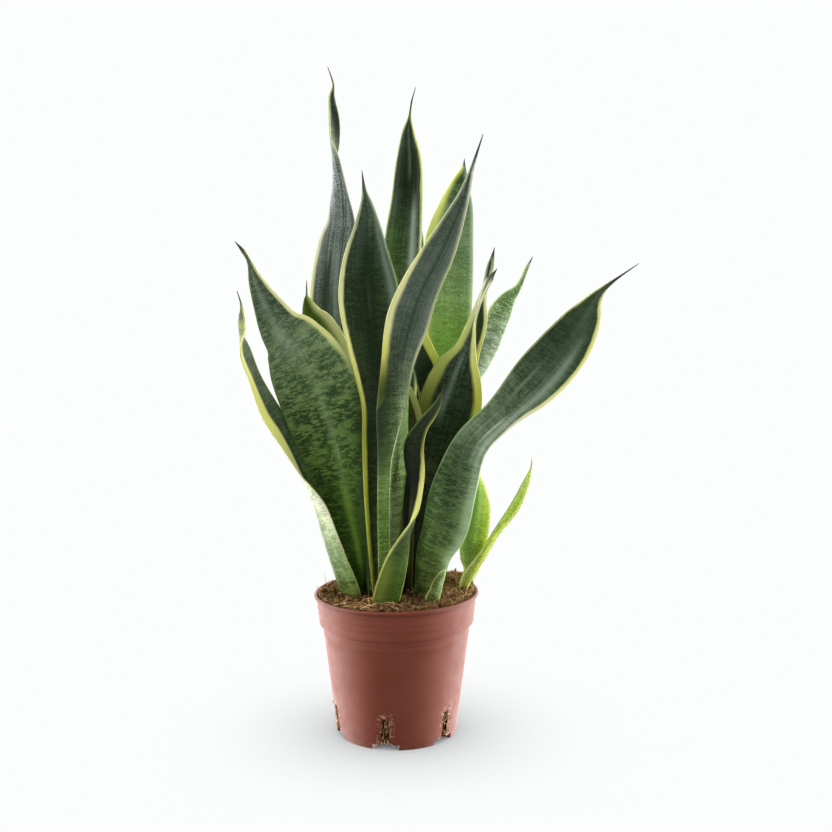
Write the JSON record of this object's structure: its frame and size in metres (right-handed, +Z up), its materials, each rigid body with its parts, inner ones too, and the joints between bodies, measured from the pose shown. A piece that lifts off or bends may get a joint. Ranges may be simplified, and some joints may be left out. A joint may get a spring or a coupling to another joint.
{
  "type": "potted snake plant",
  "caption": "Upright sword-shaped snake plant leaves with pale margins, standing in soil in a tapered plastic nursery pot; decorative houseplant for a floor, shelf or desk.",
  "frame": {"origin": "middle of the pot's flat underside", "axes": "+Z up, -Y toward the front of the plant, +X to the right seen from the front"},
  "size_m": [0.2765, 0.123, 0.4867],
  "materials": {
    "pot": "satin moulded plastic",
    "soil": "loose fibrous potting mix",
    "leaf": "satin waxy leaf",
    "young_leaf": "satin waxy leaf"
  },
  "bodies": {
    "root": {"pot": "pot", "soil": "soil", "leaf_far_left": "leaf", "leaf_left_broad": "leaf", "leaf_back_left_tall": "leaf", "leaf_centre_left": "leaf", "leaf_left_short": "leaf", "leaf_front": "leaf", "leaf_front_small": "leaf", "leaf_back_right": "leaf", "leaf_right_inner": "leaf", "leaf_far_right": "leaf", "leaf_inner_leaning": "leaf", "leaf_inner_low": "leaf", "leaf_back_tall": "leaf", "leaf_back_sliver": "leaf", "leaf_right_pale": "leaf", "leaf_right_narrow": "leaf", "pup_leaf_broad": "young_leaf", "pup_leaf_narrow": "young_leaf", "pup_leaf_outer": "young_leaf", "basal_scale": "young_leaf"}
  },
  "joints": []
}
